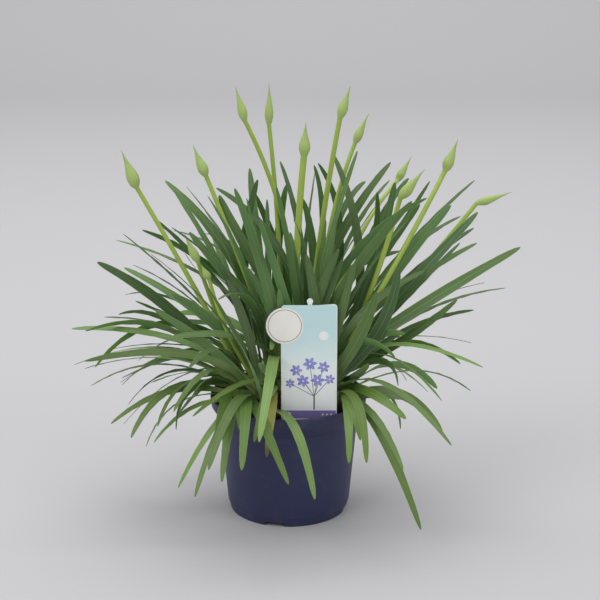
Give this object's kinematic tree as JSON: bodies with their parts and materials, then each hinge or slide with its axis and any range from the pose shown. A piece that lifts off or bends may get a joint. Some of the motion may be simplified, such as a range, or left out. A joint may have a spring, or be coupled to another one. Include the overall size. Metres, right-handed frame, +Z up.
{
  "type": "potted agapanthus",
  "caption": "Clump of strap leaves with upright flower stems in closed bud, growing in a round dark blue nursery pot with a plain plant label.",
  "frame": {"origin": "centre of the flat pad under the pot's base, on the surface that the pot stands on", "axes": "+Z up, -Y towards the front where the plant label faces, +X to the right seen from the front"},
  "size_m": [0.5509, 0.4526, 0.5183],
  "materials": {
    "pot": "matte",
    "soil": "rough",
    "card": "satin",
    "stake": "satin",
    "leaf": "satin",
    "scape": "satin"
  },
  "bodies": {
    "root": {"pot": "pot", "soil": "soil", "label_card": "card", "label_stake": "stake", "scape_01": "scape", "scape_02": "scape", "scape_03": "scape", "scape_04": "scape", "scape_05": "scape", "scape_06": "scape", "scape_07": "scape", "scape_08": "scape", "scape_09": "scape", "scape_10": "scape", "scape_11": "scape", "scape_12": "scape", "scape_13": "scape", "shoot_01": "leaf", "shoot_02": "leaf", "shoot_03": "leaf", "shoot_04": "leaf", "shoot_05": "leaf", "shoot_06": "leaf", "shoot_07": "leaf", "shoot_08": "leaf", "shoot_09": "leaf", "shoot_10": "leaf", "shoot_11": "leaf", "shoot_12": "leaf", "shoot_13": "leaf", "shoot_14": "leaf", "shoot_15": "leaf", "shoot_16": "leaf", "shoot_17": "leaf"}
  },
  "joints": []
}
